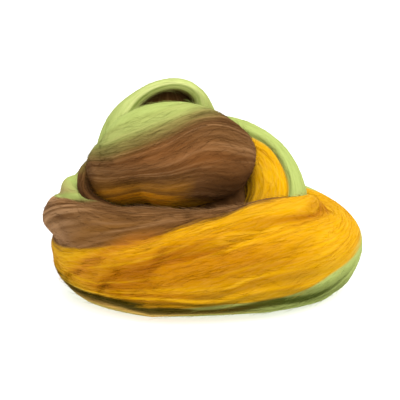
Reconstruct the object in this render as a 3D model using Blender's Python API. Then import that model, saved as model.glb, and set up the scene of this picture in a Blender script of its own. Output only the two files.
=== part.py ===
"""A bundle of wool roving: one soft strand wound into a ring, climbing into a loop and ending in a knot.

Metres, +Z up, -Y is the front. The origin is on the surface that the bundle lies on, under its middle.
The strand is drawn as a run of stretches along its route. Each is a loft through the sections of a short
table, and a Boolean union joins them where the wool presses together.
"""

import math
from collections import namedtuple

import bmesh
import bpy
import numpy as np
from mathutils import Vector

# Driving dimensions
BUNDLE_NAME = "roving"
STATION_STEP = 0.0072  # between one ring of points and the next, along the strand
PLUMPNESS = 2.3  # exponent of the section: 2 is an ellipse, more is a fuller pillow
END_ROUNDING = 0.016  # length of a stretch's rounded end
JOINT = 0.030  # how far two stretches of the strand run inside each other
JOINT_NARROWING = 0.12
FLOOR_CUTTER = 0.4  # side of the block that trims the underside flat at the resting surface

WOOL_COLOURS = {
    "brown": (0.220, 0.105, 0.042),
    "yellow": (0.780, 0.400, 0.020),
    "green": (0.480, 0.540, 0.150),
}

# A section: where the strand's line passes, how broad it is on edge and how thick through, and which way
# its outer face looks. The last three are where each colour begins, in degrees round the section, counted
# from the outer face up over the top edge, and running downwards.
Section = namedtuple("Section", "x y z wide thick out_x out_y out_z brown yellow green")

# A furrow along the fibres, or a ridge where deep is negative. Its path is a row of its table (5.5 is halfway
# from row 5 to row 6) and an angle, counted as a section's, for each of its points. broad is half its breadth.
Furrow = namedtuple("Furrow", "path deep broad")

# Where the wool above a line lies over the wool below it: raised above the line and sunk below it, this high
Lap = namedtuple("Lap", "path high above below")

# A stretch of wool: its sections, its folds, and the points round it in each colour's band, from the brown on
Stretch = namedtuple("Stretch", "table folds columns")

# The strand from its hidden end at the left, round the back and the right side to the front, up at the left
# end, over the back and down again at the right, behind the front
STRAND = [
    Section(-0.062, 0.008, 0.022, 0.034, 0.030, -1.0, 0.3, 0.0, 425, 365, 260),
    Section(-0.050, 0.033, 0.022, 0.045, 0.040, -0.8, 0.7, 0.0, 405, 345, 240),
    Section(-0.020, 0.048, 0.023, 0.051, 0.045, -0.35, 1.0, 0.0, 380, 320, 215),
    Section(0.014, 0.052, 0.024, 0.054, 0.048, 0.2, 1.0, 0.0, 345, 280, 180),
    Section(0.046, 0.042, 0.024, 0.053, 0.050, 0.8, 1.0, -0.2, 290, 235, 135),
    Section(0.0655, 0.014, 0.0228, 0.052, 0.053, 1.0, 0.1, -0.4, 220, 165, 65),
    Section(0.0642, -0.020, 0.0247, 0.0560, 0.0540, 1.0, -0.4, -0.4, 180, 132, 38),
    Section(0.044, -0.043, 0.0285, 0.063, 0.053, 0.5, -1.0, -0.2, 160, 110, -8),
    Section(0.006, -0.052, 0.0275, 0.062, 0.053, 0.0, -1.0, 0.0, 132, 84, -25),
    Section(-0.034, -0.050, 0.028, 0.062, 0.052, -0.2, -1.0, 0.05, 108, 36, -30),
    Section(-0.0605, -0.036, 0.0290, 0.0585, 0.047, -0.8, -1.0, 0.2, 108, 6, -42),
    Section(-0.0728, -0.010, 0.0342, 0.0585, 0.041, -1.0, -0.1, 0.45, 29, -24, -78),
    Section(-0.0665, 0.0165, 0.0412, 0.0535, 0.042, -1.0, 0.3, 0.45, 2, -56, -122),
    Section(-0.0485, 0.035, 0.055, 0.0500, 0.043, -0.6, 0.8, 0.5, -22, -95, -175),
    Section(-0.022, 0.045, 0.067, 0.046, 0.041, -0.2, 1.0, 0.6, -52, -125, -225),
    Section(0.004, 0.040, 0.0715, 0.042, 0.040, 0.2, 0.8, 0.8, -70, -138, -265),
    Section(0.022, 0.028, 0.0715, 0.042, 0.040, 0.6, 0.4, 0.8, -90, -155, -298),
    Section(0.0365, 0.012, 0.063, 0.042, 0.040, 1.0, 0.1, 0.3, -100, -160, -306),
    Section(0.042, -0.008, 0.047, 0.042, 0.040, 1.0, -0.1, 0.1, -100, -160, -306),
    Section(0.035, -0.024, 0.032, 0.040, 0.036, 0.8, -0.5, 0.0, -100, -160, -306),
]
UPPER_CREASE = (
    (5.1, 108), (5.8, 106), (6.31, 100), (6.6, 92), (6.87, 82), (7.05, 76), (7.28, 71), (7.6, 63), (8.3, 52)
)
LOWER_CREASE = (
    (7.0, 64), (7.43, 60), (7.7, 50), (7.93, 40), (8.2, 33), (8.4, 29), (8.66, 24), (8.8, 13), (8.95, 7),
    (9.2, 2), (9.39, -6), (9.47, -16), (9.62, -34),
)
STRAND_FOLDS = [
    Lap(UPPER_CREASE, 0.0026, 0.0040, 0.0038),
    Lap(LOWER_CREASE, 0.0026, 0.0040, 0.0040),
    Lap(((6.7, 52), (6.98, 44), (7.15, 33), (7.31, 23), (7.49, 17), (8.1, 2)), 0.0009, 0.0030, 0.0040),
    Furrow(((7.3, 116), (9.3, 22)), 0.0036, 0.0042),  # under the brown lobe, from its tip
    Furrow(((8.5, 49), (12.2, -48)), 0.0044, 0.0045),  # and on to the left end
    Furrow(((9.2, 26), (9.66, 2), (10.04, -26), (10.3, -54)), 0.0012, 0.0040),  # the streak at the lower left
    Furrow(((8.4, 84), (9.0, 74), (10.0, 48), (11.0, 4), (13.0, -44)), -0.0055, 0.0100),  # the brown lobe itself
    Furrow(((8.8, -38), (13.0, -50)), 0.0062, 0.0150),  # the yellow is drawn in under the brown lobe
    Furrow(((9.4, 108), (10.0, 88), (10.5, 60), (11.0, 30), (12.4, -8)), 0.0034, 0.0036),  # between the brown lobe and the green above it
    Furrow(((1.0, 60), (5.0, 6)), 0.0030, 0.0050),
    Furrow(((2.4, 10), (6.6, -36)), 0.0024, 0.0050),
    Furrow(((13.6, 80), (19.5, 54)), 0.0032, 0.0026),  # between the green and the yellow, at the right
    Furrow(((11.6, 4), (16.0, -16)), 0.0026, 0.0045),
    Furrow(((12.0, 52), (15.5, 38)), 0.0020, 0.0040),
    Furrow(((6.2, -56), (8.8, -66)), 0.0024, 0.0120),  # under the right side of the front
    Furrow(((10.6, 42), (11.35, 32), (12.1, 24)), -0.0036, 0.0080),  # the green shoulder at the left
    Furrow(((11.7, 54), (12.4, 49), (13.5, 42)), 0.0034, 0.0080),  # and the dip behind it
    Furrow(((5.3, 116), (6.3, 116), (7.2, 110), (8.0, 98)), -0.0038, 0.0075),  # the lobe at the upper right
    Furrow(((4.6, 112), (5.7, 100)), 0.0036, 0.0045),  # the notch behind the lobe at the upper right
]
# Where the strand is parted into solids that don't cross themselves: each runs from one row to another
PARTED = (("ring_back", 0.0, 5.5), (BUNDLE_NAME, 5.5, 12.4), ("climb", 12.4, 19.0))

# The small flat loop on top, open to the front
LOOP = [
    Section(-0.045, 0.006, 0.056, 0.048, 0.034, -1.0, 0.0, 0.0, 222, 150, 150),
    Section(-0.051, 0.006, 0.070, 0.046, 0.028, -1.0, 0.0, 0.2, 222, 150, 150),
    Section(-0.052, 0.008, 0.085, 0.040, 0.021, -1.0, 0.1, 0.4, 222, 150, 150),
    Section(-0.047, 0.010, 0.099, 0.035, 0.015, -0.85, 0.2, 0.55, 222, 150, 150),
    Section(-0.037, 0.012, 0.1105, 0.031, 0.009, -0.5, 0.24, 0.8, 222, 150, 150),
    Section(-0.024, 0.013, 0.1170, 0.029, 0.0075, -0.15, 0.25, 0.95, 222, 150, 150),
    Section(-0.012, 0.013, 0.1172, 0.029, 0.0075, 0.15, 0.25, 0.95, 222, 150, 150),
    Section(-0.0035, 0.013, 0.111, 0.031, 0.009, 0.7, 0.2, 0.6, 222, 150, 150),
    Section(0.000, 0.012, 0.101, 0.034, 0.014, 1.0, 0.1, 0.2, 222, 150, 150),
    Section(0.000, 0.012, 0.089, 0.038, 0.020, 1.0, 0.0, 0.0, 222, 150, 150),
    Section(-0.002, 0.012, 0.074, 0.040, 0.024, 1.0, 0.0, 0.0, 222, 150, 150),
]
LOOP_FOLDS = [Furrow(((2.0, 40), (10.0, 30)), 0.0010, 0.0030)]

# The wrap that closes the bundle, across the front from right to left
WRAP = [
    Section(0.0228, 0.000, 0.0665, 0.034, 0.032, 0.5, -1.0, 0.0, 150, -44, -96),
    Section(0.0105, -0.009, 0.0757, 0.0475, 0.043, 0.3, -1.0, 0.1, 116, -62, -96),
    Section(-0.004, -0.015, 0.0812, 0.0580, 0.050, 0.1, -1.0, 0.2, 80, -58, -98),
    Section(-0.020, -0.017, 0.0825, 0.0610, 0.052, 0.0, -1.0, 0.2, 46, -54, -105),
    Section(-0.0355, -0.016, 0.0797, 0.0560, 0.050, -0.1, -1.0, 0.2, 34, -46, -115),
    Section(-0.0480, -0.0140, 0.0728, 0.0420, 0.043, -0.3, -1.0, 0.15, 52, -54, -120),
    Section(-0.0660, -0.0085, 0.0640, 0.033, 0.030, -0.5, -1.0, 0.1, 100, -60, -125),
]
WRAP_FOLDS = [
    Furrow(((0.6, 62), (4.8, 40)), 0.0012, 0.0050),
    Furrow(((1.2, -14), (5.7, -24)), 0.0012, 0.0045),
]

# The edge of wool that turns round the left end of the wrap
LIP = [
    Section(-0.0585, -0.0055, 0.0800, 0.010, 0.0066, -0.8, -0.6, 0.5, 180, -180, -180),
    Section(-0.0645, -0.0110, 0.0765, 0.012, 0.0076, -0.8, -0.6, 0.4, 180, -180, -180),
    Section(-0.0685, -0.0150, 0.0725, 0.012, 0.0084, -0.8, -0.6, 0.2, 180, -180, -180),
    Section(-0.0697, -0.0177, 0.0675, 0.012, 0.0088, -0.8, -0.6, 0.0, 180, -180, -180),
    Section(-0.0692, -0.0207, 0.0630, 0.012, 0.0090, -0.8, -0.6, -0.1, 180, -180, -180),
    Section(-0.0667, -0.0245, 0.0590, 0.012, 0.0090, -0.6, -0.8, -0.2, 180, -180, -180),
    Section(-0.0617, -0.0280, 0.0560, 0.012, 0.0088, -0.5, -0.9, -0.2, 180, -180, -180),
    Section(-0.0550, -0.0305, 0.0545, 0.011, 0.0084, -0.3, -1.0, -0.2, 180, -180, -180),
    Section(-0.0465, -0.0320, 0.0540, 0.010, 0.0076, -0.2, -1.0, -0.2, 180, -180, -180),
]

# The wool inside the ring, pressed on the surface like the ring itself. It shows dark through the loop
INSIDE = [
    Section(-0.003, 0.001, -0.018, 0.110, 0.076, 0.0, -1.0, 0.0, 180, -120, -150),
    Section(-0.003, 0.001, 0.004, 0.116, 0.082, 0.0, -1.0, 0.0, 180, -120, -150),
    Section(-0.003, 0.001, 0.024, 0.106, 0.072, 0.0, -1.0, 0.0, 180, -120, -150),
    Section(-0.003, 0.002, 0.044, 0.092, 0.062, 0.0, -1.0, 0.0, 180, -120, -150),
    Section(-0.008, 0.008, 0.062, 0.080, 0.054, 0.0, -1.0, 0.0, 180, -120, -150),
    Section(-0.016, 0.014, 0.078, 0.060, 0.044, 0.0, -1.0, 0.0, 180, -120, -150),
    Section(-0.022, 0.020, 0.093, 0.050, 0.034, 0.0, -1.0, 0.0, 180, -120, -150),
    Section(-0.022, 0.022, 0.115, 0.040, 0.028, 0.0, -1.0, 0.0, 180, -120, -150),
]


STRAND_STRETCH = Stretch(STRAND, STRAND_FOLDS, (9, 15, 17))
OTHER_STRETCHES = {
    "loop": Stretch(LOOP, LOOP_FOLDS, (8, 0, 30)),
    "wrap": Stretch(WRAP, WRAP_FOLDS, (17, 9, 18)),
    "lip": Stretch(LIP, [], (16, 0, 0)),
    "inside": Stretch(INSIDE, [], (30, 3, 5)),
}


def clear_scene():
    for old in list(bpy.data.objects):
        bpy.data.objects.remove(old, do_unlink=True)


def smooth_through(places, values, wanted):
    """Values at the wanted places, on a smooth curve through the given ones (cubic Hermite)."""
    slopes = np.gradient(values, places, axis=0)
    i = np.clip(np.searchsorted(places, wanted, side="right") - 1, 0, len(places) - 2)
    gap = (places[i + 1] - places[i])[:, None]
    t = (wanted - places[i])[:, None] / gap
    return (
        values[i] * (1 + 2 * t) * (1 - t) ** 2
        + slopes[i] * gap * t * (1 - t) ** 2
        + values[i + 1] * t**2 * (3 - 2 * t)
        + slopes[i + 1] * gap * t**2 * (t - 1)
    )


def unit(vectors):
    return vectors / np.linalg.norm(vectors, axis=-1, keepdims=True)


def stations(table, step):
    """Sections at even steps along a table's strand: the row each is at, its values and its frame."""
    rows = np.array(table, float)
    chords = np.linalg.norm(np.diff(rows[:, :3], axis=0), axis=1)
    places = np.concatenate([[0.0], np.cumsum(np.sqrt(chords))])
    fine_places = np.linspace(0, places[-1], 800)
    fine = smooth_through(places, rows, fine_places)
    run = np.concatenate([[0.0], np.cumsum(np.linalg.norm(np.diff(fine[:, :3], axis=0), axis=1))])
    along = np.linspace(0, run[-1], max(8, round(run[-1] / step)) + 1)
    at = np.stack([np.interp(along, run, column) for column in fine.T], axis=1)
    row = np.interp(np.interp(along, run, fine_places), places, np.arange(len(rows)))
    tangent = unit(np.gradient(at[:, :3], along, axis=0))
    out = at[:, 5:8]
    out = unit(out - (out * tangent).sum(1, keepdims=True) * tangent)
    up = np.cross(tangent, out)
    return along, row, at, out, up


def fibre_angles(at, columns, offset):
    """Where each line of fibres lies round every section, in degrees: the lines keep to their colour."""
    brown, yellow, green = at[:, 8], at[:, 9], at[:, 10]
    bands = zip((brown, yellow, green), (yellow, green, brown - 360), columns)
    lines = [top + (low - top) * (k + offset) / count for top, low, count in bands for k in range(count)]
    return np.stack(lines, axis=1)


def off_path(path, row, angle, around):
    """How far above a path each point of a stretch is, in metres, and how full the path is there, from 0 to 1."""
    rows, angles = np.array(path, float).T
    off = (angle - np.interp(row, rows, angles)[:, None] + 180) % 360 - 180
    t = np.clip((row[:, None] - rows[0]) / (rows[-1] - rows[0]), 0, 1)
    return off * around / 360, np.sin(np.pi * t) ** 0.7


def depth_of(fold, row, angle, around):
    """How far a fold lowers each point of a stretch."""
    off, full = off_path(fold.path, row, angle, around)
    if isinstance(fold, Furrow):
        return fold.deep * full * np.exp(-((off / fold.broad) ** 2))
    side = off / np.where(off > 0, fold.above, fold.below)
    return -fold.high * full * side * np.exp((1 - side**2) / 2)


def surface(stretch, from_row, to_row, offset):
    """The points of a stretch's surface, a ring of them for each station. It narrows a little into its joints."""
    along, row, at, out, up = stations(stretch.table, STATION_STEP)
    start, finish = np.interp([from_row, to_row], row, along)
    last = len(stretch.table) - 1
    start -= JOINT / 2 if from_row > 0 else 0
    finish += JOINT / 2 if to_row < last else 0
    kept = (along > start - STATION_STEP / 2) & (along < finish + STATION_STEP / 2)
    along, row, at, out, up = (values[kept] for values in (along, row, at, out, up))
    wide, thick = at[:, 3:4], at[:, 4:5]
    angle = fibre_angles(at, stretch.columns, offset)
    turn = np.radians(angle)
    across = np.sign(np.cos(turn)) * np.abs(np.cos(turn)) ** (2 / PLUMPNESS) * thick / 2
    tall = np.sign(np.sin(turn)) * np.abs(np.sin(turn)) ** (2 / PLUMPNESS) * wide / 2
    girth = math.pi * (wide + thick) / 2
    depth = sum((depth_of(fold, row, angle, girth) for fold in stretch.folds), np.zeros_like(turn))
    after_start, before_end = (along - along[0])[:, None], (along[-1] - along)[:, None]
    near_end = np.clip(np.minimum(after_start, before_end) / END_ROUNDING, 0, 1)
    narrowing = np.ones_like(after_start)
    if from_row > 0:
        narrowing *= 1 - JOINT_NARROWING * np.clip(1 - after_start / JOINT, 0, 1)
    if to_row < last:
        narrowing *= 1 - JOINT_NARROWING * np.clip(1 - before_end / JOINT, 0, 1)
    shrink = np.sqrt(1 - (1 - near_end) ** 2) * narrowing * (1 - depth / np.hypot(across, tall))
    points = at[:, None, :3] + out[:, None, :] * (across * shrink)[..., None]
    return points + up[:, None, :] * (tall * shrink)[..., None]


def loft(name, stretch, from_row=0, to_row=None, offset=0.0):
    """A closed loft through a stretch's sections, or through some of them, its faces in the three colours."""
    points = surface(stretch, from_row, len(stretch.table) - 1 if to_row is None else to_row, offset)
    slots = [slot for slot, count in enumerate(stretch.columns) for _ in range(count)]
    columns = len(slots)
    mesh = bmesh.new()
    rings = [[mesh.verts.new(Vector(p)) for p in ring] for ring in points[1:-1]]
    for ring, following in zip(rings, rings[1:]):
        for k in range(columns):
            after = (k + 1) % columns
            face = mesh.faces.new((ring[k], ring[after], following[after], following[k]))
            face.material_index = slots[k]
    for ring, tip in ((rings[0], points[0, 0]), (rings[-1], points[-1, 0])):
        middle = mesh.verts.new(Vector(tip))
        for k in range(columns):
            mesh.faces.new((ring[k], ring[(k + 1) % columns], middle)).material_index = slots[k]
    bmesh.ops.recalc_face_normals(mesh, faces=mesh.faces)
    bmesh.ops.triangulate(mesh, faces=mesh.faces, quad_method="SHORT_EDGE")
    return as_object(name, mesh)


def as_object(name, mesh):
    data = bpy.data.meshes.new(name)
    mesh.to_mesh(data)
    mesh.free()
    data.shade_smooth()
    for colour in WOOL_COLOURS:
        data.materials.append(bpy.data.materials["wool " + colour])
    return bpy.data.objects.new(name, data)


def make_materials():
    for name, colour in WOOL_COLOURS.items():
        material = bpy.data.materials.new("wool " + name)
        material.use_nodes = True
        shader = material.node_tree.nodes["Principled BSDF"]
        shader.inputs["Base Color"].default_value = (*colour, 1.0)
        shader.inputs["Roughness"].default_value = 0.85
        shader.inputs["Metallic"].default_value = 0.0


def below_surface():
    """A block whose top is the surface that the bundle lies on."""
    mesh = bmesh.new()
    bmesh.ops.create_cube(mesh, size=FLOOR_CUTTER)
    bmesh.ops.translate(mesh, verts=mesh.verts, vec=(0, 0, -FLOOR_CUTTER / 2))
    return as_object("below", mesh)


def collection(name):
    made = bpy.data.collections.new(name)
    bpy.context.scene.collection.children.link(made)
    return made


def combine(target, other, operation, helpers):
    helpers.objects.link(other)
    other.hide_render = True
    other.display_type = "WIRE"
    modifier = target.modifiers.new(operation.lower() + " " + other.name, "BOOLEAN")
    modifier.operation = operation
    modifier.solver = "MANIFOLD"  # the EXACT one leaves open edges where these rounded stretches meet
    modifier.object = other


def middle_of(stretches):
    """The middle of the whole bundle's box, in plan."""
    points = np.array([v.co[:2] for s in stretches for v in s.data.vertices])
    return (points.min(axis=0) + points.max(axis=0)) / 2


def main():
    clear_scene()
    make_materials()
    shown = collection("wool roving")
    helpers = collection("helpers")
    pieces = {
        name: loft(name, STRAND_STRETCH, from_row, to_row, offset=k % 2 / 2)
        for k, (name, from_row, to_row) in enumerate(PARTED)
    }
    pieces.update({name: loft(name, stretch) for name, stretch in OTHER_STRETCHES.items()})
    x, y = middle_of(pieces.values())
    for piece in pieces.values():
        piece.location = (-x, -y, 0)
    bundle = pieces[BUNDLE_NAME]
    shown.objects.link(bundle)
    for name in ("loop", "ring_back", "climb", "wrap", "lip", "inside"):
        combine(bundle, pieces[name], "UNION", helpers)
    combine(bundle, below_surface(), "DIFFERENCE", helpers)


if __name__ == "__main__":
    main()
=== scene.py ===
"""Looks of the wool roving: combed wool in three colours, wound into a ring, with a loop and a wrap on top.

Metres, +Z up, -Y is the front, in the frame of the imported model. The wool's surfaces are lofts through the
same sections and folds as the solid's, much finer, with the relief of the combed wool on them, and loose
fibres lie on top. Three things aren't as in the solid: there is one furrow more under the front, the one
between green and yellow at the right is narrower, and the wool inside the ring is slimmer in its middle.
"""

import math
from collections import namedtuple

import bpy
import numpy as np
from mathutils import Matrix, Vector


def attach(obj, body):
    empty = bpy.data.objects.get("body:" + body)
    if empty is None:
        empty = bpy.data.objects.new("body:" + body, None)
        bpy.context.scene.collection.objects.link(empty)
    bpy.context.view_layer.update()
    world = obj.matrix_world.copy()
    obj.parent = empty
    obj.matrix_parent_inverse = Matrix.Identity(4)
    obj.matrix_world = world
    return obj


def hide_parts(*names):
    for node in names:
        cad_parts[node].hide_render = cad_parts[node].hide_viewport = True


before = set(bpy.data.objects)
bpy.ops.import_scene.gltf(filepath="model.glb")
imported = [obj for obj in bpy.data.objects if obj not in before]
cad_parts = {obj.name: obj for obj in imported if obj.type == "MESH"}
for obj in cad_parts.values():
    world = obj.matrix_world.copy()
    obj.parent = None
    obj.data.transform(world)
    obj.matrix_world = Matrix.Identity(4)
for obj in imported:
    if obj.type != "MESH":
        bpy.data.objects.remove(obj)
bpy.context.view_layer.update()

NODE = "roving"
BODY = "root"
SURFACE, FIBRES = "wool_surface", "wool_fibres"  # the two materials

PLUMPNESS = 2.3  # exponent of a section: 2 is an ellipse, more is a fuller pillow
END_ROUNDING = 0.016  # length of a stretch's rounded end
END_RINGS = 14  # rings of points in it
CURVE_POINTS = 2400  # on the smooth curve through a table, to measure along it
PATH_FADING = 0.7  # exponent of how a fold or a tint fades towards its ends: less keeps it full for longer

# A section: where the strand's line passes, how broad it is on edge and how thick through, and which way
# its outer face looks. The last three are where each colour begins, in degrees round the section, counted
# from the outer face up over the top edge, and running downwards.
Section = namedtuple("Section", "x y z wide thick out_x out_y out_z brown yellow green")

# A furrow along the fibres, or a ridge where deep is negative. Its path is a row of its table (5.5 is halfway
# from row 5 to row 6) and an angle, counted as a section's, for each of its points. broad is how far from the
# path its depth has fallen to about a third.
Furrow = namedtuple("Furrow", "path deep broad")

# Where the wool above a line lies over the wool below it. It is raised by high at the distance above from the
# line, and sunk by as much at the distance below.
Lap = namedtuple("Lap", "path high above below")

# A streak of another shade, laid out as a furrow is. amount is how much of the shade it holds, before the
# streaks of the wool fray it. All that comes to more than 1 counts as 1.
Tint = namedtuple("Tint", "path broad shade amount")

# Half the breadth over which two colours blend, in metres, and how far their borders waver
Blends = namedtuple("Blends", "green_brown brown_yellow yellow_green wobble")

# A stretch of wool: its tables, the step from one station to the next, the columns of points in each colour's
# band, from the brown on, how its colours meet, how strong its relief is at some of its rows, how neatly it
# is combed and where its random numbers start. The neater, the longer and straighter are its streaks.
Stretch = namedtuple("Stretch", "table folds tints step columns blends relief neat seed")

# The strand from its hidden end at the left, round the back and the right side to the front, up at the left
# end, over the back and down again at the right, behind the front
STRAND = [
    Section(-0.062, 0.008, 0.022, 0.034, 0.030, -1.0, 0.3, 0.0, 425, 365, 260),
    Section(-0.050, 0.033, 0.022, 0.045, 0.040, -0.8, 0.7, 0.0, 405, 345, 240),
    Section(-0.020, 0.048, 0.023, 0.051, 0.045, -0.35, 1.0, 0.0, 380, 320, 215),
    Section(0.014, 0.052, 0.024, 0.054, 0.048, 0.2, 1.0, 0.0, 345, 280, 180),
    Section(0.046, 0.042, 0.024, 0.053, 0.050, 0.8, 1.0, -0.2, 290, 235, 135),
    Section(0.0655, 0.014, 0.0228, 0.052, 0.053, 1.0, 0.1, -0.4, 220, 165, 65),
    Section(0.0642, -0.020, 0.0247, 0.0560, 0.0540, 1.0, -0.4, -0.4, 180, 132, 34),
    Section(0.044, -0.043, 0.0285, 0.063, 0.053, 0.5, -1.0, -0.2, 160, 110, -12),
    Section(0.006, -0.052, 0.0275, 0.062, 0.053, 0.0, -1.0, 0.0, 132, 84, -26),
    Section(-0.034, -0.050, 0.028, 0.062, 0.052, -0.2, -1.0, 0.05, 108, 36, -36),
    Section(-0.0605, -0.036, 0.0290, 0.0585, 0.047, -0.8, -1.0, 0.2, 108, 6, -58),
    Section(-0.0728, -0.010, 0.0342, 0.0585, 0.041, -1.0, -0.1, 0.45, 29, -24, -92),
    Section(-0.0665, 0.0165, 0.0412, 0.0535, 0.042, -1.0, 0.3, 0.45, 2, -56, -122),
    Section(-0.0485, 0.035, 0.055, 0.0500, 0.043, -0.6, 0.8, 0.5, -22, -95, -175),
    Section(-0.022, 0.045, 0.067, 0.046, 0.041, -0.2, 1.0, 0.6, -52, -125, -225),
    Section(0.004, 0.040, 0.0715, 0.042, 0.040, 0.2, 0.8, 0.8, -70, -138, -265),
    Section(0.022, 0.028, 0.0715, 0.042, 0.040, 0.6, 0.4, 0.8, -90, -155, -290),
    Section(0.0365, 0.012, 0.063, 0.042, 0.040, 1.0, 0.1, 0.3, -100, -160, -294),
    Section(0.042, -0.008, 0.047, 0.042, 0.040, 1.0, -0.1, 0.1, -100, -160, -298),
    Section(0.035, -0.024, 0.032, 0.040, 0.036, 0.8, -0.5, 0.0, -100, -160, -302),
]
UPPER_CREASE = (
    (5.1, 108), (5.8, 106), (6.31, 100), (6.6, 92), (6.87, 82), (7.05, 76), (7.28, 71), (7.6, 63), (8.3, 52)
)
LOWER_CREASE = (
    (7.0, 64), (7.43, 60), (7.7, 50), (7.93, 40), (8.2, 33), (8.4, 29), (8.66, 24), (8.8, 13), (8.95, 7),
    (9.2, 2), (9.39, -6), (9.47, -16), (9.62, -34),
)
PAINTED_SHADE_OF_UPPER_CREASE = (
    (5.2, 104), (6.31, 96), (6.61, 87), (6.87, 76), (7.05, 71), (7.28, 66), (7.9, 54)
)
PAINTED_SHADE_OF_LOWER_CREASE = (
    (7.1, 58), (7.43, 56), (7.7, 45), (7.93, 35), (8.4, 25), (8.66, 20), (8.8, 9),
    (9.2, -3), (9.5, -20), (9.7, -40),
)
SHADED_GREEN = ((5.9, -17), (6.4, -15), (6.7, -20), (7.0, -22), (7.3, -25), (7.7, -31), (8.4, -33))
PAINTED_SHADE_ALONG_BOTTOM = ((7.2, -25), (7.7, -31), (8.2, -32), (8.65, -35), (9.2, -42), (10.0, -58), (11.2, -76))
STRAND_FOLDS = [
    Lap(UPPER_CREASE, 0.0026, 0.0040, 0.0038),
    Lap(LOWER_CREASE, 0.0026, 0.0040, 0.0040),
    Lap(((6.7, 52), (6.98, 44), (7.15, 33), (7.31, 23), (7.49, 17), (8.1, 2)), 0.0009, 0.0030, 0.0040),
    Furrow(((7.3, 116), (9.3, 22)), 0.0036, 0.0042),  # under the brown lobe, from its tip
    Furrow(((8.5, 49), (12.2, -48)), 0.0044, 0.0045),  # and on to the left end
    Furrow(((9.2, 26), (9.66, 2), (10.04, -26), (10.3, -54)), 0.0012, 0.0040),  # the streak at the lower left
    # the brown lobe itself
    Furrow(((8.4, 84), (9.0, 74), (10.0, 48), (11.0, 4), (13.0, -44)), -0.0055, 0.0100),
    Furrow(((8.8, -38), (13.0, -50)), 0.0062, 0.0150),  # the yellow is drawn in under the brown lobe
    # between the brown lobe and the green above it
    Furrow(((9.4, 108), (10.0, 88), (10.5, 60), (11.0, 30), (12.4, -8)), 0.0034, 0.0036),
    Furrow(((1.0, 60), (5.0, 6)), 0.0030, 0.0050),
    Furrow(((2.4, 10), (6.6, -36)), 0.0024, 0.0050),
    Furrow(((13.6, 80), (19.5, 54)), 0.0024, 0.0017),  # between the green and the yellow, at the right
    Furrow(((11.6, 4), (16.0, -16)), 0.0026, 0.0045),
    Furrow(((12.0, 52), (15.5, 38)), 0.0020, 0.0040),
    Furrow(((6.2, -56), (8.8, -66)), 0.0024, 0.0120),  # under the right side of the front
    Furrow(((7.4, -62), (9.8, -66)), 0.0018, 0.0100),  # and on to the left under it
    Furrow(((10.6, 42), (11.35, 32), (12.1, 24)), -0.0036, 0.0080),  # the green shoulder at the left
    Furrow(((11.7, 54), (12.4, 49), (13.5, 42)), 0.0034, 0.0080),  # and the dip behind it
    Furrow(((5.3, 116), (6.3, 116), (7.2, 110), (8.0, 98)), -0.0038, 0.0075),  # the lobe at the upper right
    Furrow(((4.6, 112), (5.7, 100)), 0.0036, 0.0045),  # the notch behind the lobe at the upper right
]
STRAND_TINTS = [
    # a darker honey yellow over the lower middle of the front: partly the wool's own tone, partly painted
    # shade
    Tint(((6.8, 22), (8.0, 14), (9.0, -8), (10.1, -26)), 0.0195, "honey_and_painted_shade", 1.30),
    Tint(((8.6, 50), (9.08, 35), (9.66, 2), (10.04, -28), (10.3, -56)), 0.0046, "orange", 0.85),
    # painted shade in the two creases
    Tint(PAINTED_SHADE_OF_UPPER_CREASE, 0.0042, "painted_crease_shade", 1.00),
    Tint(PAINTED_SHADE_OF_LOWER_CREASE, 0.0044, "painted_crease_shade", 1.00),
    Tint(((8.7, -4), (9.2, -14), (9.8, -26)), 0.0060, "painted_crease_shade", 0.60),  # painted shade below the crease, at the left
    # painted shade on the green, low on the front at the right
    Tint(((5.6, -5), (6.4, -5), (6.8, -11), (7.4, -17), (8.4, -26)), 0.0115, "painted_green_shade", 0.42),
    # and darker painted shade on it lower down
    Tint(SHADED_GREEN, 0.0068, "painted_green_shade", 1.30),
    # painted shade along the bottom edge, under the bulge of the front
    Tint(PAINTED_SHADE_ALONG_BOTTOM, 0.0058, "shaded", 1.90),
    Tint(((7.4, -50), (8.2, -56), (9.2, -62), (10.4, -82)), 0.0056, "painted_reflection", 1.00),  # and a paler painted reflection right beneath it
    # painted shade along the furrow between the green and the yellow, at the right
    Tint(((13.6, 80), (19.5, 54)), 0.0010, "shaded", 0.40),
    Tint(((6.9, 156), (9.4, 150)), 0.0110, "deep", 0.85),  # painted shade in the gap beside the wrap
    # painted shade in the crevice beside the wrap's right end
    Tint(((16.2, 160), (19.5, 150)), 0.0150, "deep", 1.20),
    # painted light on the brown band under the wrap, where the wrap's shade falls
    Tint(((6.9, 130), (8.3, 124), (9.6, 108)), 0.0100, "painted_light_on_brown", 1.60),
    Tint(((9.8, 56), (10.5, 26), (12.4, -20)), 0.0140, "painted_light_on_brown", 1.20),  # painted light on the brown lobe at the left, which faces away from the key light
    # painted shade on the inner side of the ring at the back
    Tint(((2.4, 150), (4.0, 150)), 0.0120, "deep", 0.90),
]
# A row and how strong the relief is there, for each point
STRAND_RELIEF = [(0, 0.55), (5.5, 0.5), (11.5, 0.5), (13.5, 0.22)]
# The strand's pieces, each from one row to another
PARTED = (("ring_back", 0.0, 5.5), ("ring_front", 5.5, 12.4), ("climb", 12.4, 19.0))

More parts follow.
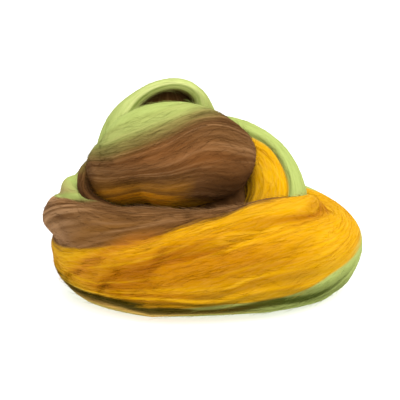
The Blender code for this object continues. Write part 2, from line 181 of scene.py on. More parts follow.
# The small flat loop on top, open to the front
LOOP = [
    Section(-0.045, 0.006, 0.056, 0.048, 0.034, -1.0, 0.0, 0.0, 222, 152, 146),
    Section(-0.051, 0.006, 0.070, 0.046, 0.028, -1.0, 0.0, 0.2, 222, 152, 146),
    Section(-0.052, 0.008, 0.085, 0.040, 0.021, -1.0, 0.1, 0.4, 222, 152, 146),
    Section(-0.047, 0.010, 0.099, 0.035, 0.015, -0.85, 0.2, 0.55, 222, 152, 146),
    Section(-0.037, 0.012, 0.1105, 0.031, 0.009, -0.5, 0.24, 0.8, 222, 152, 146),
    Section(-0.024, 0.013, 0.1170, 0.029, 0.0075, -0.15, 0.25, 0.95, 222, 152, 146),
    Section(-0.012, 0.013, 0.1172, 0.029, 0.0075, 0.15, 0.25, 0.95, 222, 152, 146),
    Section(-0.0035, 0.013, 0.111, 0.031, 0.009, 0.7, 0.2, 0.6, 222, 152, 146),
    Section(0.000, 0.012, 0.101, 0.034, 0.014, 1.0, 0.1, 0.2, 222, 152, 146),
    Section(0.000, 0.012, 0.089, 0.038, 0.020, 1.0, 0.0, 0.0, 222, 152, 146),
    Section(-0.002, 0.012, 0.074, 0.040, 0.024, 1.0, 0.0, 0.0, 222, 152, 146),
]
LOOP_FOLDS = [Furrow(((2.0, 40), (10.0, 30)), 0.0010, 0.0030)]
LOOP_TINTS = [
    # painted light on the loop's front edge, which faces down into shade
    Tint(((1.0, 122), (8.2, 122)), 0.0080, "pale", 0.90),
    Tint(((1.0, 20), (10.5, 20)), 0.0080, "moss", 0.12),  # the rim
    Tint(((6.2, 60), (10.0, 70)), 0.0100, "moss", 0.36),
]

# The wrap that closes the bundle, across the front from right to left
WRAP = [
    Section(0.0228, 0.000, 0.0665, 0.034, 0.032, 0.5, -1.0, 0.0, 150, -44, -96),
    Section(0.0105, -0.009, 0.0757, 0.0475, 0.043, 0.3, -1.0, 0.1, 116, -62, -96),
    Section(-0.004, -0.015, 0.0812, 0.0580, 0.050, 0.1, -1.0, 0.2, 80, -58, -98),
    Section(-0.020, -0.017, 0.0825, 0.0610, 0.052, 0.0, -1.0, 0.2, 42, -54, -105),
    Section(-0.0355, -0.016, 0.0797, 0.0560, 0.050, -0.1, -1.0, 0.2, 31, -46, -115),
    Section(-0.0480, -0.0140, 0.0728, 0.0420, 0.043, -0.3, -1.0, 0.15, 52, -54, -120),
    Section(-0.0660, -0.0085, 0.0640, 0.033, 0.030, -0.5, -1.0, 0.1, 100, -60, -125),
]
WRAP_FOLDS = [
    Furrow(((0.6, 62), (4.8, 40)), 0.0012, 0.0050),
    Furrow(((1.2, -14), (5.7, -24)), 0.0012, 0.0045),
]
WRAP_TINTS = [
    Tint(((0.5, 4), (5.0, 0)), 0.0080, "rust", 0.40),
    Tint(((2.2, -40), (3.2, -49), (4.4, -47), (6.2, -32)), 0.0078, "gold", 1.20),
    Tint(((-0.8, -20), (2.9, -52)), 0.0110, "deep", 0.90),  # painted shade in the gap at its right end
    Tint(((5.4, -20), (6.6, -20)), 0.0200, "deep", 0.75),  # and painted shade in the fold at its left end
]

# The edge of wool that turns round the left end of the wrap
LIP = [
    Section(-0.0585, -0.0055, 0.0800, 0.010, 0.0066, -0.8, -0.6, 0.5, 180, -174, -176),
    Section(-0.0645, -0.0110, 0.0765, 0.012, 0.0076, -0.8, -0.6, 0.4, 180, -174, -176),
    Section(-0.0685, -0.0150, 0.0725, 0.012, 0.0084, -0.8, -0.6, 0.2, 180, -174, -176),
    Section(-0.0697, -0.0177, 0.0675, 0.012, 0.0088, -0.8, -0.6, 0.0, 180, -174, -176),
    Section(-0.0692, -0.0207, 0.0630, 0.012, 0.0090, -0.8, -0.6, -0.1, 180, -174, -176),
    Section(-0.0667, -0.0245, 0.0590, 0.012, 0.0090, -0.6, -0.8, -0.2, 180, -174, -176),
    Section(-0.0617, -0.0280, 0.0560, 0.012, 0.0088, -0.5, -0.9, -0.2, 180, -174, -176),
    Section(-0.0550, -0.0305, 0.0545, 0.011, 0.0084, -0.3, -1.0, -0.2, 180, -174, -176),
    Section(-0.0465, -0.0320, 0.0540, 0.010, 0.0076, -0.2, -1.0, -0.2, 180, -174, -176),
]
LIP_TINTS = [
    Tint(((-1.0, -60), (2.6, -60)), 0.0300, "moss", 0.90),
    # painted shade on the underside of the lip
    Tint(((2.6, -70), (6.6, -70)), 0.0300, "deep", 0.60),
]

# The wool inside the ring, which shows dark through the loop
INSIDE = [
    Section(-0.003, 0.001, -0.018, 0.110, 0.076, 0.0, -1.0, 0.0, 180, -176, -178),
    Section(-0.003, 0.001, 0.004, 0.116, 0.082, 0.0, -1.0, 0.0, 180, -176, -178),
    Section(-0.003, 0.001, 0.024, 0.106, 0.072, 0.0, -1.0, 0.0, 180, -176, -178),
    Section(-0.007, 0.002, 0.044, 0.080, 0.060, 0.0, -1.0, 0.0, 180, -176, -178),
    Section(-0.014, 0.009, 0.062, 0.062, 0.050, 0.0, -1.0, 0.0, 180, -176, -178),
    Section(-0.016, 0.014, 0.078, 0.060, 0.044, 0.0, -1.0, 0.0, 180, -176, -178),
    Section(-0.022, 0.020, 0.093, 0.050, 0.034, 0.0, -1.0, 0.0, 180, -176, -178),
    Section(-0.022, 0.022, 0.115, 0.040, 0.028, 0.0, -1.0, 0.0, 180, -176, -178),
]
# painted shade over the inside
INSIDE_TINTS = [Tint(((1.0, 30), (5.2, 30)), 0.0400, "deep", 0.75)]

STRETCHES = {
    "strand": Stretch(
        STRAND, STRAND_FOLDS, STRAND_TINTS, step=0.0014, columns=(90, 120, 160),
        blends=Blends(0.0040, 0.0014, 0.0022, 0.0022), relief=STRAND_RELIEF, neat=1.0, seed=11,
    ),
    "loop": Stretch(
        LOOP, LOOP_FOLDS, LOOP_TINTS, step=0.0010, columns=(60, 6, 144),
        blends=Blends(0.0030, 0.0020, 0.0030, 0.0015), relief=[(0, 0.15)], neat=2.0, seed=23,
    ),
    "wrap": Stretch(
        WRAP, WRAP_FOLDS, WRAP_TINTS, step=0.0009, columns=(150, 90, 160),
        blends=Blends(0.0130, 0.0080, 0.004, 0.0020), relief=[(0, 0.12)], neat=2.5, seed=37,
    ),
    "lip": Stretch(
        LIP, [], LIP_TINTS, step=0.0010, columns=(60, 3, 3),
        blends=Blends(0.0020, 0.0020, 0.0020, 0.0010), relief=[(0, 0.30)], neat=2.0, seed=53,
    ),
    "inside": Stretch(
        INSIDE, [], INSIDE_TINTS, step=0.0025, columns=(172, 4, 4),
        blends=Blends(0.0005, 0.0005, 0.0005, 0.0), relief=[(0, 1.0)], neat=1.0, seed=41,
    ),
}

# The relief of combed wool: streaks along the fibres, of this spread across and along, and this height.
# Parted ones have narrow valleys between round ridges.
Relief = namedtuple("Relief", "across along height parted")
RELIEFS = (
    Relief(0.0070, 0.022, 0.00045, False),
    Relief(0.0028, 0.010, 0.00016, True),
    Relief(0.0012, 0.005, 0.00007, False),
)
PARTED_LEVEL = 0.8  # about the mean height of parted streaks, which is taken off them
DRIFT = 0.0026  # how far the streaks wander off the lines of the fibres
DRIFT_ACROSS, DRIFT_ALONG = 0.007, 0.014
DRIFT_SEED = 50  # added to a kind of streaks' seed, for its drift

# Streaks of a strength: their spread across and along, and the seed that tells them from the others
Streaks = namedtuple("Streaks", "across along strength seed")
# Those that lighten and darken the wool, those that shift the colours' borders and those that fray the tints
SHADE_STREAKS = (Streaks(0.0003, 0.006, 0.27, 8), Streaks(0.0050, 0.014, 0.08, 9))
BORDER_STREAKS = (Streaks(0.0009, 0.020, 0.6, 6), Streaks(0.004, 0.030, 0.6, 7))
FRAYING_STREAKS = (Streaks(0.0008, 0.020, 0.4, 10),)
TINT_FULLNESS = 0.75  # how full a tint is on average, once it is frayed

LIGHT = 1.30  # how much brighter a surface looks in this light than its own colour is


def linear(red, green, blue):
    """What a surface reflects that the screen shows in this colour, 0 to 255, in the studio's light."""
    shown = np.array([red, green, blue]) / 255
    return np.where(shown <= 0.04045, shown / 12.92, ((shown + 0.055) / 1.055) ** 2.4) / LIGHT


# Each wool in its usual shade, and what its streaks lighten and darken to
Wool = namedtuple("Wool", "usual light dark")
BROWN = Wool(linear(115, 78, 42), linear(162, 120, 78), linear(80, 50, 25))
YELLOW = Wool(linear(223, 164, 10), linear(234, 180, 22), linear(204, 141, 4))
GREEN = Wool(linear(176, 190, 104), linear(184, 197, 112), linear(168, 181, 96))
# Colours of the tints: some are the wool's own, others painted shade or painted light, as said where they are
# used
SHADES = {
    "orange": linear(200, 124, 36),
    "rust": linear(150, 88, 36),
    "gold": linear(232, 156, 26),
    "honey_and_painted_shade": linear(192, 126, 4),
    # painted shade, for gaps, folds and the inside
    "deep": linear(62, 36, 14),
    "moss": linear(140, 128, 66),
    "painted_crease_shade": linear(176, 104, 6),
    "shaded": linear(70, 58, 4),
    "pale": linear(252, 255, 176),
    "painted_green_shade": linear(72, 82, 24),
    "painted_light_on_brown": linear(176, 134, 92),
    "painted_reflection": linear(236, 188, 96),
}


def smooth_through(places, values, wanted):
    """Values at the wanted places, on a smooth curve through the given ones (cubic Hermite)."""
    slopes = np.gradient(values, places, axis=0)
    i = np.clip(np.searchsorted(places, wanted, side="right") - 1, 0, len(places) - 2)
    gap = (places[i + 1] - places[i])[:, None]
    t = (wanted - places[i])[:, None] / gap
    return (
        values[i] * (1 + 2 * t) * (1 - t) ** 2
        + slopes[i] * gap * t * (1 - t) ** 2
        + values[i + 1] * t**2 * (3 - 2 * t)
        + slopes[i + 1] * gap * t**2 * (t - 1)
    )


def unit(vectors):
    return vectors / np.maximum(np.linalg.norm(vectors, axis=-1, keepdims=True), 1e-9)


def stations(table, step):
    """Sections along a table's strand, closer together in its rounded ends.

    Gives how far along and at which row each is, its values, and the ways its outer face and its top look.
    """
    rows = np.array(table, float)
    chords = np.linalg.norm(np.diff(rows[:, :3], axis=0), axis=1)
    places = np.concatenate([[0.0], np.cumsum(np.sqrt(chords))])
    fine_places = np.linspace(0, places[-1], CURVE_POINTS)
    fine = smooth_through(places, rows, fine_places)
    run = np.concatenate([[0.0], np.cumsum(np.linalg.norm(np.diff(fine[:, :3], axis=0), axis=1))])
    end = END_ROUNDING * (1 - np.cos(np.linspace(0, math.pi / 2, END_RINGS + 1)))
    middle = np.linspace(END_ROUNDING, run[-1] - END_ROUNDING, round((run[-1] - 2 * END_ROUNDING) / step) + 1)
    along = np.concatenate([end[:-1], middle, run[-1] - end[-2::-1]])
    at = np.stack([np.interp(along, run, column) for column in fine.T], axis=1)
    row = np.interp(np.interp(along, run, fine_places), places, np.arange(len(rows)))
    tangent = unit(np.gradient(at[:, :3], along, axis=0))
    out = at[:, 5:8]
    out = unit(out - (out * tangent).sum(1, keepdims=True) * tangent)
    up = np.cross(tangent, out)
    return along, row, at, out, up


def fibre_angles(at, columns):
    """Where each line of fibres lies round every section, in degrees: the lines keep to their colour."""
    brown, yellow, green = at[:, 8], at[:, 9], at[:, 10]
    bands = zip((brown, yellow, green), (yellow, green, brown - 360), columns)
    angles = [top + (low - top) * k / count for top, low, count in bands for k in range(count)]
    return np.stack(angles, axis=1)


def off_path(path, row, angle, around):
    """How far above a path each point of a stretch is, and how full the path is there, from 0 to 1."""
    rows, angles = np.array(path, float).T
    off = (angle - np.interp(row, rows, angles)[:, None] + 180) % 360 - 180
    t = np.clip((row[:, None] - rows[0]) / (rows[-1] - rows[0]), 0, 1)
    return off * around / 360, np.sin(np.pi * t) ** PATH_FADING


def along_streak(streak, row, angle, around):
    """How much of a furrow or a tint each point of a stretch has, from 0 to 1."""
    off, full = off_path(streak.path, row, angle, around)
    return full * np.exp(-((off / streak.broad) ** 2))


def depth_of(fold, row, angle, around):
    """How far a fold lowers each point of a stretch."""
    if isinstance(fold, Furrow):
        return fold.deep * along_streak(fold, row, angle, around)
    off, full = off_path(fold.path, row, angle, around)
    side = off / np.where(off > 0, fold.above, fold.below)
    return -fold.high * full * side * np.exp((1 - side**2) / 2)


def noise(shape, across, along, seed):
    """Even random bumps on a grid that closes on itself, spread in columns across and stations along."""
    raw = np.random.default_rng(seed).standard_normal(shape)
    station, column = np.fft.fftfreq(shape[0])[:, None], np.fft.fftfreq(shape[1])[None, :]
    kept = np.exp(-2 * np.pi**2 * ((station * along) ** 2 + (column * across) ** 2))
    field = np.fft.ifft2(np.fft.fft2(raw) * kept).real
    return field / field.std()


def sample(grid, station, column):
    """Values between the points of a grid of stations and columns. The columns close on themselves."""
    station = np.clip(station, 0, len(grid) - 1.001)
    i, j = station.astype(int), np.floor(column).astype(int)
    fi, fj = station - i, column - j
    if grid.ndim == 3:
        fi, fj = fi[..., None], fj[..., None]
    left, right = j % grid.shape[1], (j + 1) % grid.shape[1]
    low = grid[i, left] * (1 - fj) + grid[i, right] * fj
    high = grid[i + 1, left] * (1 - fj) + grid[i + 1, right] * fj
    return low * (1 - fi) + high * fi


def grid_normals(points):
    """Outward normals of a surface whose rings of points close on themselves."""
    ahead = np.gradient(points, axis=0)
    beside = np.roll(points, -1, axis=1) - np.roll(points, 1, axis=1)
    return unit(np.cross(ahead, beside))


class WoolSurface:
    """A stretch as a grid: a ring of points for each station along it, a column for each line of fibres."""

    def __init__(self, stretch):
        self.stretch = stretch
        self.along, self.row, at, out, up = stations(stretch.table, stretch.step)
        wide, thick = at[:, 3:4], at[:, 4:5]
        self.angle = fibre_angles(at, stretch.columns)
        self.girth = math.pi * (wide + thick) / 2
        turn = np.radians(self.angle)
        across = np.sign(np.cos(turn)) * np.abs(np.cos(turn)) ** (2 / PLUMPNESS) * thick / 2
        tall = np.sign(np.sin(turn)) * np.abs(np.sin(turn)) ** (2 / PLUMPNESS) * wide / 2
        depth = np.zeros_like(turn)
        for fold in stretch.folds:
            depth += depth_of(fold, self.row, self.angle, self.girth)
        near_end = np.minimum(self.along, self.along[-1] - self.along)[:, None] / END_ROUNDING
        self.fullness = np.sqrt(1 - (1 - np.clip(near_end, 0, 1)) ** 2)
        shrink = self.fullness * (1 - depth / np.hypot(across, tall))
        self.points = at[:, None, :3] + out[:, None, :] * (across * shrink)[..., None]
        self.points = self.points + up[:, None, :] * (tall * shrink)[..., None]
        self.spacing = self.girth.mean() / self.angle.shape[1]

    def move(self, x, y):
        self.points = self.points - np.array([x, y, 0.0])

    def streaks(self, across, along, seed):
        """Noise drawn out along the fibres, wandering a little off their lines."""
        shape, step, neat = self.angle.shape, self.stretch.step, self.stretch.neat
        seed += 100 * self.stretch.seed
        field = noise(shape, across / self.spacing, along * neat / step, seed)
        drift = noise(shape, DRIFT_ACROSS / self.spacing, DRIFT_ALONG / step, seed + DRIFT_SEED)
        station, column = np.indices(shape, dtype=float)
        return sample(field, station, column + drift * DRIFT / neat / self.spacing)

    def mixed_streaks(self, kinds):
        """Several kinds of streaks, each as strong as it is said to be, added up."""
        return sum(self.streaks(kind.across, kind.along, kind.seed) * kind.strength for kind in kinds)

    def comb(self):
        """Raises the relief of the combed wool, and presses the wool flat on the surface that it lies on."""
        height = np.zeros(self.angle.shape)
        for number, relief in enumerate(RELIEFS):
            field = self.streaks(relief.across, relief.along, number)
            height += relief.height * (np.abs(field) - PARTED_LEVEL if relief.parted else field)
        rows, strengths = np.array(self.stretch.relief, float).T
        height *= np.interp(self.row, rows, strengths)[:, None] * self.fullness
        self.points = self.points + grid_normals(self.points) * height[..., None]
        self.points[..., 2] = np.maximum(self.points[..., 2], 0.0)
        self.normals = grid_normals(self.points)
        steps = np.linalg.norm(np.roll(self.points, -1, axis=1) - self.points, axis=2)
        self.around = np.concatenate([np.zeros((len(steps), 1)), np.cumsum(steps, axis=1)], axis=1)

    def share(self, first, last, before, after, wobble):
        """How much each point has of a colour, whose band runs from its first column to its last.

        It blends with its neighbours over the breadths before and after.
        """
        whole, start = self.around[:, -1:], self.around[:, first : first + 1]
        broad = self.around[:, last : last + 1] - start
        off = (self.around[:, :-1] - start - broad / 2 + whole / 2) % whole - whole / 2
        half = np.where(off < 0, before, after)
        t = np.clip((broad / 2 - np.abs(off) - np.sign(off) * wobble) / (2 * half) + 0.5, 0, 1)
        return t * t * (3 - 2 * t) * np.clip(broad / (2 * half), 0, 1)

    def paint(self):
        """Lays the three colours side by side, blends them at their borders and streaks them."""
        browns, yellows, _ = self.stretch.columns
        blends = self.stretch.blends
        wobble = blends.wobble * self.mixed_streaks(BORDER_STREAKS)
        brown = self.share(0, browns, blends.green_brown, blends.brown_yellow, wobble)
        yellow = self.share(browns, browns + yellows, blends.brown_yellow, blends.yellow_green, wobble)
        green = np.clip(1 - brown - yellow, 0, 1)
        streak = np.clip(self.mixed_streaks(SHADE_STREAKS), -1, 1)[..., None]
        self.colours = np.zeros(self.points.shape)
        for share, wool in ((brown, BROWN), (yellow, YELLOW), (green, GREEN)):
            lighter = wool.usual + (wool.light - wool.usual) * streak
            darker = wool.usual + (wool.usual - wool.dark) * streak
            self.colours += share[..., None] * np.where(streak > 0, lighter, darker)
        frayed = np.clip(TINT_FULLNESS + self.mixed_streaks(FRAYING_STREAKS), 0, 1)
        for tint in self.stretch.tints:
            amount = tint.amount * along_streak(tint, self.row, self.angle, self.girth) * frayed
            amount = np.minimum(amount, 1)[..., None]
            self.colours = self.colours * (1 - amount) + SHADES[tint.shade] * amount


def set_maps(mesh, bake_map, fibre_map, colours):
    """Gives a mesh its two UV maps, corner by corner, and its colours, vertex by vertex."""
    for name, places in (("OFBake", bake_map), ("fibres", fibre_map)):
        layer = mesh.uv_layers.new(name=name)
        layer.uv.foreach_set("vector", places.astype(np.float32).ravel())
    attribute = mesh.color_attributes.new("wool_colour", "FLOAT_COLOR", "POINT")
    opaque = np.concatenate([colours, np.ones((len(colours), 1))], axis=1)
    attribute.data.foreach_set("color", opaque.astype(np.float32).ravel())


def as_piece(name, mesh, normals, material):
    mesh.shade_smooth()
    mesh.normals_split_custom_set_from_vertices(normals)
    mesh.materials.append(bpy.data.materials[material])
    piece = bpy.data.objects.new(name, mesh)
    bpy.context.scene.collection.objects.link(piece)
    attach(piece, BODY)
    return piece


def surface_piece(name, wool, first, last):
    """A piece of a wool surface between two stations. Where the strand ends, it closes in a tip."""
    total, columns = wool.angle.shape
    has_start, has_end = first == 0, last == total - 1
    rings = np.arange(first + has_start, last + 1 - has_end)
    ring, column = np.meshgrid(np.arange(len(rings) - 1), np.arange(columns), indexing="ij")
    after = (column + 1) % columns
    here, ahead = ring * columns, (ring + 1) * columns
    quads = np.stack([here + column, ahead + column, ahead + after, here + after], axis=-1).reshape(-1, 4)
    # each corner's station and column, the last column's right corners being one past it
    corner_station = rings[np.stack([ring, ring + 1, ring + 1, ring], axis=-1)].reshape(-1)
    corner_column = np.stack([column, column, column + 1, column + 1], axis=-1).reshape(-1)
    vertices = wool.points[rings].reshape(-1, 3)
    normals = wool.normals[rings].reshape(-1, 3)
    colours = wool.colours[rings].reshape(-1, 3)
    faces = quads.tolist()
    k = np.arange(columns)
    for closed, station, inward, start in (
        (has_start, 0, 1, 0),
        (has_end, total - 1, -1, (len(rings) - 1) * columns),
    ):
        if not closed:
            continue
        tip = np.full(columns, len(vertices))
        corners = [start + k, start + (k + 1) % columns, tip]
        corner_stations = [station + inward, station + inward, station]
        corner_columns = [k, k + 1, k + 0.5]
        if inward < 0:
            corners.reverse()
            corner_stations.reverse()
            corner_columns.reverse()
        faces += np.stack(corners, axis=1).tolist()
        corner_station = np.concatenate([corner_station, np.tile(corner_stations, columns)])
        corner_column = np.concatenate([corner_column, np.stack(corner_columns, axis=1).reshape(-1)])
        middle = wool.points[station + 2 * inward].mean(axis=0)
        vertices = np.concatenate([vertices, wool.points[station, :1]])
        normals = np.concatenate([normals, unit(wool.points[station, :1] - middle)])
        colours = np.concatenate([colours, wool.colours[station].mean(axis=0)[None]])
    mesh = bpy.data.meshes.new(name)
    mesh.from_pydata(vertices.tolist(), [], faces)
    span = max(last - first, 1)
    bake_map = np.stack([corner_column / columns, (corner_station - first) / span], axis=1)
    floor = np.floor(corner_column).astype(int)
    metres = wool.around[corner_station, floor]
    metres = metres + (corner_column - floor) * wool.spacing
    fibre_map = np.stack([metres, wool.along[corner_station]], axis=1)
    set_maps(mesh, bake_map, fibre_map, colours)
    piece = as_piece(name, mesh, normals, SURFACE)
    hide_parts(NODE)
    return piece


# Loose fibres: the points in each, their lengths, how much they slant, how far off the wool they are, their
# radius, how many lie on each piece and where their random numbers start. A stray rises at one end.
Loose = namedtuple("Loose", "points length slant lift radius is_stray counts seed")
LYING = Loose(
    7, (0.022, 0.060), 0.07, (0.00005, 0.0003), 0.00007, False,
    {"ring_back": 1500, "ring_front": 3000, "climb": 1700, "loop": 600, "wrap": 2000, "lip": 160}, 0,
)
STRAY = Loose(
    5, (0.006, 0.020), 0.20, (0.0004, 0.0028), 0.00006, True,
    {"ring_back": 1500, "ring_front": 3400, "climb": 1700, "loop": 700, "wrap": 2600, "lip": 200}, 50,
)
FIBRE_SIDES = 3
FIBRE_SINK = 0.00012  # how far a fibre's ends lie in the wool
FIBRE_SWAY = (0.0002, 0.0012)  # how far it waves to the side
FIBRE_WAVES = (0.6, 2.2)
FIBRE_THINNESS = (0.7, 1.2)  # its radius, as a share of the usual one
TAPER_FROM, TAPER_OVER, LEAST_TAPER = 0.06, 0.88, 0.1  # the part of half a wave that its radius follows
LYING_RISE, STRAY_RISE = 0.6, 1.7  # exponents of how it lifts off the wool
BAND = 0.4  # in the maps, from one of its sides to the next, in columns
FIRST_FREE, LAST_FREE = 0.6, 1.6  # columns at the maps' seam that its line stays off
LUMINANCE = np.array([0.2126, 0.7152, 0.0722])
FIBRES_KEPT = (0.12, 0.30, 0.36), (1.0, 0.55, 0.25)  # the paler the wool, the fewer of its fibres show
PALEST_FIBRE = 0.95
# A fibre is lighter or darker than its wool by up to the first, less what the second makes of the wool's
# brightness, but no less than the third
CONTRAST_ON_BLACK, CONTRAST_FALL, LEAST_CONTRAST = 0.56, 1.25, 0.06


def fibre_lines(wool, first, last, loose, count, random):
    """Where every fibre runs: along, station and column of each of its points, and its one colour.

    A fibre's colour is that of the wool where its middle lies. Some of the fibres on pale wool are left out.
    """
    total, columns = wool.angle.shape
    t = np.linspace(0, 1, loose.points)[None, :]
    start, finish = wool.along[first], wool.along[last]
    length = random.uniform(*loose.length, (count, 1))
    middle = random.uniform(start, finish, (count, 1))
    along = np.clip(middle + length * (t - 0.5), start, finish)
    slope = random.normal(0, loose.slant, (count, 1)) * length
    waves = random.uniform(*FIBRE_WAVES, (count, 1))
    phase = random.uniform(0, 2 * math.pi, (count, 1))
    wave = random.uniform(*FIBRE_SWAY, (count, 1)) * np.sin(2 * math.pi * waves * t + phase)
    sway = slope * (t - 0.5) + wave
    column = random.uniform(0, columns, (count, 1)) + sway / wool.spacing
    column = np.clip(column, FIRST_FREE, columns - LAST_FREE)
    station = np.interp(along, wool.along, np.arange(total))
    half = loose.points // 2
    colour = sample(wool.colours, station[:, half], column[:, half])
    kept = random.uniform(0, 1, count) < np.interp(colour @ LUMINANCE, *FIBRES_KEPT)
    return along[kept], station[kept], column[kept], colour[kept]


def fibre_piece(name, wool, first, last, loose, number):
    """Loose fibres on a stretch's surface between two stations, as one mesh of thin tapered tubes."""
    random = np.random.default_rng(loose.seed + number)
    along, station, column, colour = fibre_lines(wool, first, last, loose, loose.counts[name], random)
    count, sides = len(colour), FIBRE_SIDES
    t = np.linspace(0, 1, loose.points)[None, :]
    rise = random.uniform(*loose.lift, (count, 1))
    height = rise * (t**STRAY_RISE if loose.is_stray else np.sin(math.pi * t) ** LYING_RISE) - FIBRE_SINK
    normal = unit(sample(wool.normals, station, column))
    line = sample(wool.points, station, column) + normal * height[..., None]
    line[..., 2] = np.maximum(line[..., 2], loose.radius)
    tangent = unit(np.gradient(line, axis=1))
    beside = unit(np.cross(tangent, normal))
    above = np.cross(beside, tangent)
    taper = np.clip(np.sin(math.pi * (TAPER_FROM + TAPER_OVER * t)) ** 0.5, LEAST_TAPER, 1)
    thin = loose.radius * random.uniform(*FIBRE_THINNESS, (count, 1)) * taper
    corner = (2 * math.pi * np.arange(sides) / sides + math.pi / 2)[None, None, :, None]
    offset = above[:, :, None, :] * np.sin(corner) + beside[:, :, None, :] * np.cos(corner)
    vertices = line[:, :, None, :] + offset * thin[:, :, None, None]
    base = (np.arange(count) * loose.points * sides)[:, None, None]
    ring = (np.arange(loose.points - 1) * sides)[None, :, None]
    side = np.arange(sides)[None, None, :]
    beyond = (side + 1) % sides
    here, ahead = base + ring, base + ring + sides
    quads = np.stack([here + side, ahead + side, ahead + beyond, here + beyond], axis=-1).reshape(-1, 4)
    ends = base[:, 0] + np.arange(sides)
    caps = np.concatenate([ends, ends[:, ::-1] + (loose.points - 1) * sides])
    piece_name = name + ("_strays" if loose.is_stray else "_fibres")
    mesh = bpy.data.meshes.new(piece_name)
    mesh.from_pydata(vertices.reshape(-1, 3).tolist(), [], quads.tolist() + caps.tolist())
    contrast = CONTRAST_ON_BLACK - CONTRAST_FALL * colour.max(axis=1, keepdims=True)
    contrast = np.maximum(contrast, LEAST_CONTRAST)
    colour = colour * (1 + contrast * random.uniform(-1, 1, (count, 1)))
    colours = np.repeat(np.clip(colour, 0, PALEST_FIBRE), loose.points * sides, axis=0)
    aside = (np.arange(sides) - 1) * BAND
    vertex_column = (column[:, :, None] + aside[None, None, :]).reshape(-1)
    vertex_station = np.repeat(station.reshape(-1), sides)
    metres = vertex_column * wool.spacing
    corners = np.concatenate([quads.reshape(-1), caps.reshape(-1)])
    columns, span = wool.angle.shape[1], max(last - first, 1)
    bake_map = np.stack([vertex_column[corners] / columns, (vertex_station[corners] - first) / span], axis=1)
    fibre_map = np.stack([metres[corners], np.repeat(along.reshape(-1), sides)[corners]], axis=1)
    set_maps(mesh, bake_map, fibre_map, colours)
    return as_piece(piece_name, mesh, offset.reshape(-1, 3), FIBRES)


FINE_STREAKS = (0.00035, 0.0035, 0.5)  # their size across and along, and how distorted they are
BROAD_STREAKS = (0.0012, 0.008, 0.6)
FINE_SHARE, BROAD_SHARE = 0.6, 0.4  # in the streaks that shade and raise the wool
STREAK_DETAIL, STREAK_ROUGHNESS = 2.0, 0.6
SATURATION = (1.01, 0.98)  # from one side of the broad streaks to the other
ROUGHNESS = (0.95, 0.74)  # and of the fine ones
BUMP_STRENGTH, BUMP_DISTANCE = 0.7, 0.0001
SHEEN_ROUGHNESS, SHEEN_TINT = 0.45, (1.0, 0.97, 0.92, 1.0)


def streak_nodes(nodes, links, coordinates, across, along, distortion):
    """A noise texture drawn out along the fibres: across and along are its size in metres."""
    mapping = nodes.new("ShaderNodeMapping")
    mapping.inputs["Scale"].default_value = (1 / across, 1 / along, 1.0)
    links.new(coordinates, mapping.inputs["Vector"])
    texture = nodes.new("ShaderNodeTexNoise")
    texture.noise_dimensions = "2D"
    texture.inputs["Scale"].default_value = 1.0
    texture.inputs["Detail"].default_value = STREAK_DETAIL
    texture.inputs["Roughness"].default_value = STREAK_ROUGHNESS
    texture.inputs["Distortion"].default_value = distortion
    links.new(mapping.outputs["Vector"], texture.inputs["Vector"])
    return texture.outputs["Fac"]


def ranged(nodes, links, value, low, high, from_low=0.3, from_high=0.7):
    """The value, taken from its own range to another. Most of a noise lies between 0.3 and 0.7."""
    node = nodes.new("ShaderNodeMapRange")
    for socket, number in zip(("From Min", "From Max", "To Min", "To Max"), (from_low, from_high, low, high)):
        node.inputs[socket].default_value = number
    links.new(value, node.inputs["Value"])
    return node.outputs["Result"]


def wool_material(name, sheen, gloss, contrast):
    """Combed wool: the colours of the mesh, streaked along the fibres, matt, with a faint sheen."""
    material = bpy.data.materials.new(name)
    material.use_nodes = True
    nodes, links = material.node_tree.nodes, material.node_tree.links
    shader = nodes["Principled BSDF"]
    colour = nodes.new("ShaderNodeVertexColor")
    colour.layer_name = "wool_colour"
    place = nodes.new("ShaderNodeUVMap")
    place.uv_map = "fibres"
    fine = streak_nodes(nodes, links, place.outputs["UV"], *FINE_STREAKS)
    broad = streak_nodes(nodes, links, place.outputs["UV"], *BROAD_STREAKS)
    both = nodes.new("ShaderNodeMath")
    both.operation = "MULTIPLY_ADD"
    links.new(fine, both.inputs[0])
    both.inputs[1].default_value = FINE_SHARE
    links.new(ranged(nodes, links, broad, 0.0, BROAD_SHARE, 0.0, 1.0), both.inputs[2])
    streak = both.outputs["Value"]
    shade = nodes.new("ShaderNodeHueSaturation")
    links.new(colour.outputs["Color"], shade.inputs["Color"])
    links.new(ranged(nodes, links, streak, 1 - contrast, 1 + contrast), shade.inputs["Value"])
    links.new(ranged(nodes, links, broad, *SATURATION), shade.inputs["Saturation"])
    links.new(shade.outputs["Color"], shader.inputs["Base Color"])
    links.new(ranged(nodes, links, fine, *ROUGHNESS), shader.inputs["Roughness"])
    bump = nodes.new("ShaderNodeBump")
    bump.inputs["Strength"].default_value = BUMP_STRENGTH
    bump.inputs["Distance"].default_value = BUMP_DISTANCE
    links.new(streak, bump.inputs["Height"])
    links.new(bump.outputs["Normal"], shader.inputs["Normal"])
    shader.inputs["Specular IOR Level"].default_value = gloss
    shader.inputs["Sheen Weight"].default_value = sheen
    shader.inputs["Sheen Roughness"].default_value = SHEEN_ROUGHNESS
    shader.inputs["Sheen Tint"].default_value = SHEEN_TINT
    return material


WHITE = (1.0, 1.0, 1.0, 1.0)
FLOOR_SIZE = 6.0
FLOOR_COLOUR = (0.62, 0.62, 0.62, 1.0)
FLOOR_ROUGHNESS = 0.25
FLOOR_GLOW = 0.34  # it keeps the floor pale in the wool's shadow
ROOM_LIGHT = 0.45
KEY_FROM = Vector((0.33, -0.46, 1.05))
KEY_ENERGY, KEY_ANGLE = 1.6, math.radians(50)
TOP_PLACE = Vector((0.15, 0.10, 1.20))
TOP_ENERGY, TOP_SIZE = 1.6, 0.8
EXPOSURE = 0.89


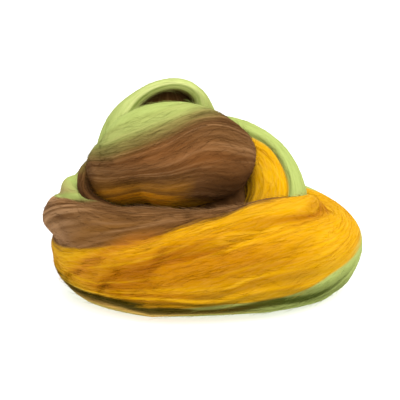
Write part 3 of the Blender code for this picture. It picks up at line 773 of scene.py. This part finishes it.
def studio():
    """A pale floor, a bright room, a soft light from the front right and another from above."""
    bpy.ops.mesh.primitive_plane_add(size=FLOOR_SIZE)
    floor = bpy.context.object
    floor.name = "floor"
    material = bpy.data.materials.new("floor")
    material.use_nodes = True
    shader = material.node_tree.nodes["Principled BSDF"]
    shader.inputs["Base Color"].default_value = FLOOR_COLOUR
    shader.inputs["Roughness"].default_value = FLOOR_ROUGHNESS
    shader.inputs["Emission Color"].default_value = WHITE
    shader.inputs["Emission Strength"].default_value = FLOOR_GLOW
    floor.data.materials.append(material)
    world = bpy.data.worlds.new("room")
    world.use_nodes = True
    background = world.node_tree.nodes["Background"]
    background.inputs["Color"].default_value = WHITE
    background.inputs["Strength"].default_value = ROOM_LIGHT
    bpy.context.scene.world = world
    key = bpy.data.lights.new("key", "SUN")
    key.energy = KEY_ENERGY
    key.angle = KEY_ANGLE
    lamp = bpy.data.objects.new("key", key)
    lamp.rotation_euler = (-KEY_FROM).to_track_quat("-Z", "Y").to_euler()
    bpy.context.scene.collection.objects.link(lamp)
    top = bpy.data.lights.new("top", "AREA")
    top.size = TOP_SIZE
    top.energy = TOP_ENERGY
    lamp = bpy.data.objects.new("top", top)
    lamp.location = TOP_PLACE
    bpy.context.scene.collection.objects.link(lamp)


CAMERA_TARGET = Vector((-0.0016, 0.0017, 0.050))
CAMERA_DISTANCE = 0.667
CAMERA_ELEVATION = math.radians(17)
CAMERA_LENS, CAMERA_SENSOR = 100, 36  # in millimetres


def camera():
    """The view of the photo: straight from the front and a little from above."""
    data = bpy.data.cameras.new("camera")
    data.lens = CAMERA_LENS
    data.sensor_width = CAMERA_SENSOR
    data.sensor_fit = "HORIZONTAL"
    eye = bpy.data.objects.new("camera", data)
    away = Vector((0, -math.cos(CAMERA_ELEVATION), math.sin(CAMERA_ELEVATION)))
    eye.location = CAMERA_TARGET + away * CAMERA_DISTANCE
    eye.rotation_euler = (-away).to_track_quat("-Z", "Y").to_euler()
    bpy.context.scene.collection.objects.link(eye)
    bpy.context.scene.camera = eye


def make_surfaces():
    """Every stretch's surface, moved so that the bundle's middle is over the origin, combed and coloured."""
    surfaces = {name: WoolSurface(stretch) for name, stretch in STRETCHES.items()}
    plan = np.concatenate([wool.points[..., :2].reshape(-1, 2) for wool in surfaces.values()])
    middle = (plan.min(axis=0) + plan.max(axis=0)) / 2
    for wool in surfaces.values():
        wool.move(*middle)
        wool.comb()
        wool.paint()
    return surfaces


def make_pieces(surfaces):
    """Every stretch's surface, the strand's in its parts, and the loose fibres on all but the inside."""
    strand = surfaces["strand"]
    parts = []
    for name, from_row, to_row in PARTED:
        first, last = np.searchsorted(strand.row, [from_row, to_row])
        parts.append((name, strand, int(first), min(int(last), len(strand.row) - 1)))
    for name in ("loop", "wrap", "lip", "inside"):
        parts.append((name, surfaces[name], 0, len(surfaces[name].row) - 1))
    for number, (name, wool, first, last) in enumerate(parts):
        surface_piece(name, wool, first, last)
        for loose in (LYING, STRAY):
            if name in loose.counts:
                fibre_piece(name, wool, first, last, loose, number)


bpy.context.scene.view_settings.view_transform = "Standard"
bpy.context.scene.view_settings.exposure = EXPOSURE
wool_material(SURFACE, sheen=0.01, gloss=0.03, contrast=0.09)
wool_material(FIBRES, sheen=0.0, gloss=0.0, contrast=0.05)
surfaces = make_surfaces()
make_pieces(surfaces)
studio()
camera()
